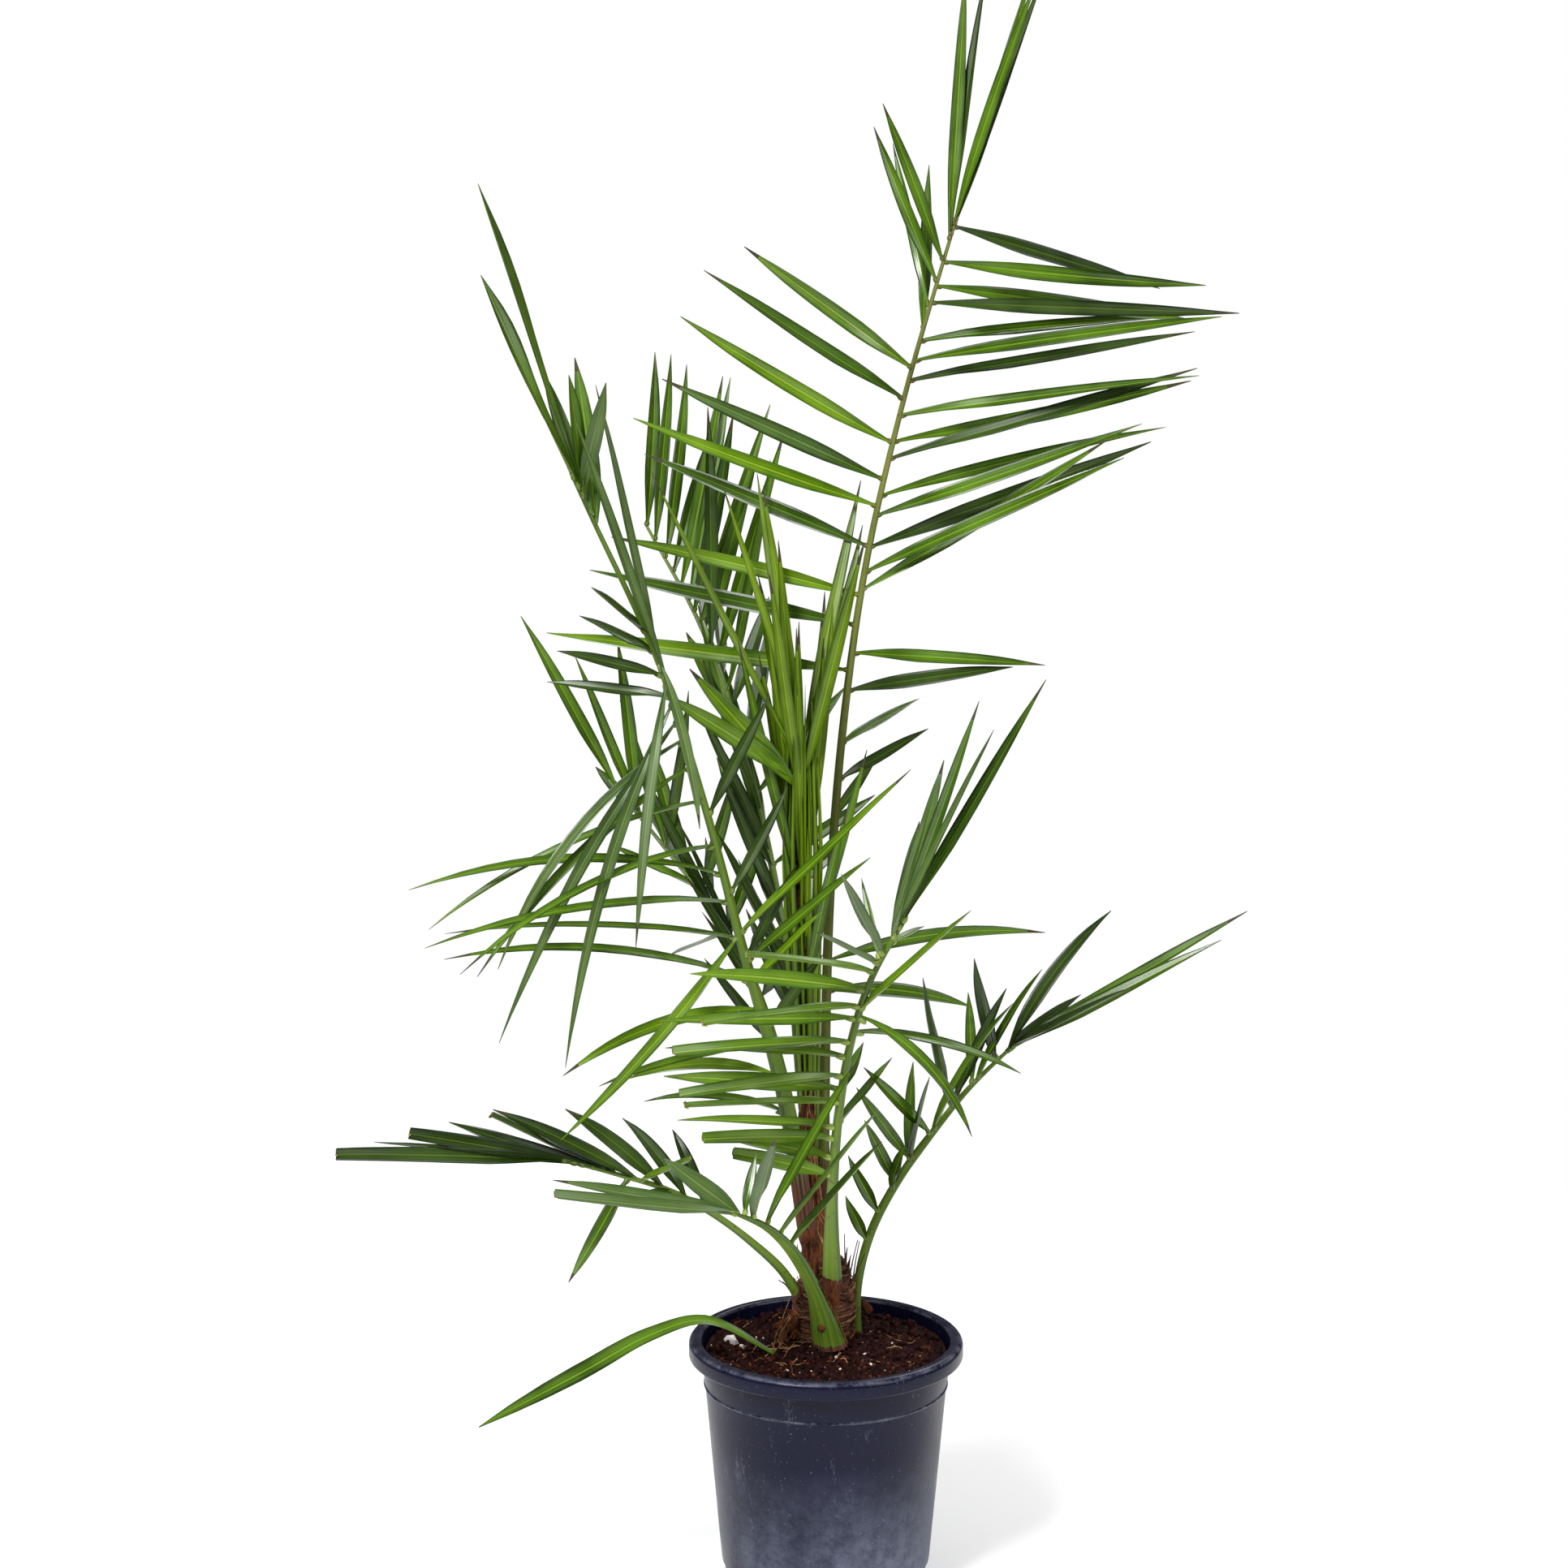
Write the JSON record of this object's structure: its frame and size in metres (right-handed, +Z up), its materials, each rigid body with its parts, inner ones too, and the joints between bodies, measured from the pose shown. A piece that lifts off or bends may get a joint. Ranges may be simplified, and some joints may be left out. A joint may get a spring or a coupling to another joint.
{
  "type": "potted date palm",
  "caption": "Young date palm: arching fronds of long narrow leaflets rise from a short fibrous stem in a round plastic nursery pot filled with dark soil.",
  "frame": {"origin": "middle of the pot's flat underside, where it stands", "axes": "+Z up along the pot's axis, +X towards the side that the tallest frond leans to, -Y towards the front with the broad cut leaf stalk"},
  "size_m": [0.6254, 0.4294, 1.1108],
  "materials": {
    "pot_plastic": "dark blue-black moulded plastic, lightly scuffed",
    "potting_soil": "damp dark brown peat with pale grains and root fibres",
    "stem_fibre": "matted brown leaf-sheath fibre",
    "leaf_stalk": "smooth green stalk with a soft sheen",
    "leaflet": "folded green blade with fine parallel veins and a glossy upper face",
    "spear_leaf": "young yellow-green folded blade"
  },
  "bodies": {
    "root": {"back_fan": "leaflet", "back_left_rear": "leaflet", "back_left_rib": "leaf_stalk", "back_left_up": "leaflet", "back_low": "leaflet", "back_rear": "leaflet", "back_rib": "leaf_stalk", "front_right_behind": "leaflet", "front_right_comb": "leaflet", "front_right_rib": "leaf_stalk", "front_right_right": "leaflet", "front_right_tip": "leaflet", "front_right_top": "leaflet", "front_right_top_back": "leaflet", "low_front_rib": "leaf_stalk", "low_front_tip": "leaflet", "low_front_up": "leaflet", "low_left_low": "leaflet", "low_left_rib": "leaf_stalk", "low_left_tip": "leaflet", "low_left_up": "leaflet", "low_right_left": "leaflet", "low_right_rib": "leaf_stalk", "low_right_tip": "leaflet", "low_right_up": "leaflet", "pot": "pot_plastic", "seedling_leaf": "leaflet", "sheath_column": "stem_fibre", "soil": "potting_soil", "spear_bundle": "spear_leaf", "spears_crown": "spear_leaf", "spears_fore": "spear_leaf", "stem_base": "stem_fibre", "tall_left_droop": "leaflet", "tall_left_left_foot": "leaflet", "tall_left_left_mid": "leaflet", "tall_left_rib": "leaf_stalk", "tall_left_right_low": "leaflet", "tall_left_side": "leaflet", "tall_left_tip": "leaflet", "tall_left_upper": "leaflet", "tall_right_left_fan": "leaflet", "tall_right_left_top": "leaflet", "tall_right_rib": "leaf_stalk", "tall_right_right_fan": "leaflet", "tall_right_right_foot": "leaflet", "tall_right_right_low": "leaflet", "tall_right_tip": "leaflet"}
  },
  "joints": []
}
